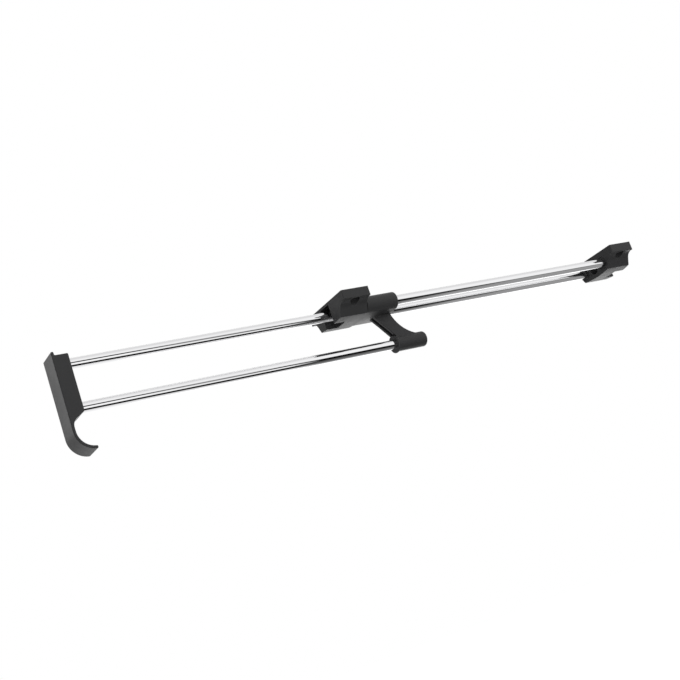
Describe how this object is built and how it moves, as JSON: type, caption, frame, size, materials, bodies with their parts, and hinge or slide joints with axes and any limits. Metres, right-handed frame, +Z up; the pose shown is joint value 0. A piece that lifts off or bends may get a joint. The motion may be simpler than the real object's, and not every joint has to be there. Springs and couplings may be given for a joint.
{
  "type": "pull-out closet valet rod",
  "caption": "Under-shelf pull-out valet rod: two brackets hold guide rods, and a finger grip draws out a pull rod, trolley and lower hanging rod for clothes hangers.",
  "frame": {"origin": "centre of the front bracket's top face, which meets the underside of the shelf", "axes": "+X into the wardrobe along the rods, +Y to the left when facing into the wardrobe, +Z up; drawn pulled all the way out"},
  "size_m": [0.5553, 0.06, 0.0778],
  "materials": {
    "black_moulding": "fine satin moulded surface",
    "chrome_rod": "bright polished chrome plate",
    "pin_steel": "bare ground steel",
    "bush_plastic": "dark self-lubricating plastic",
    "buffer_rubber": "soft matt rubber"
  },
  "bodies": {
    "rail": {"front_bracket": "black_moulding", "rear_bracket": "black_moulding", "front_bracket_pins": "pin_steel", "rear_bracket_pins": "pin_steel", "pull_rod_bush": "bush_plastic", "guide_rod_right": "chrome_rod", "guide_rod_left": "chrome_rod", "buffer_right": "buffer_rubber", "buffer_left": "buffer_rubber"},
    "carriage": {"grip": "black_moulding", "pull_rod": "chrome_rod", "hanging_rod": "chrome_rod", "trolley": "black_moulding", "trolley_bush_right_front": "bush_plastic", "trolley_bush_right_rear": "bush_plastic", "trolley_bush_left_front": "bush_plastic", "trolley_bush_left_rear": "bush_plastic", "grip_pull_rod_pin": "pin_steel", "grip_hanging_rod_pin": "pin_steel", "trolley_pull_rod_pin": "pin_steel", "trolley_hanging_rod_pin": "pin_steel"}
  },
  "joints": [
    {"name": "carriage_slide", "type": "slide", "parent": "rail", "child": "carriage", "axis": [1, 0, 0], "range_m": [0, 0.22]}
  ]
}
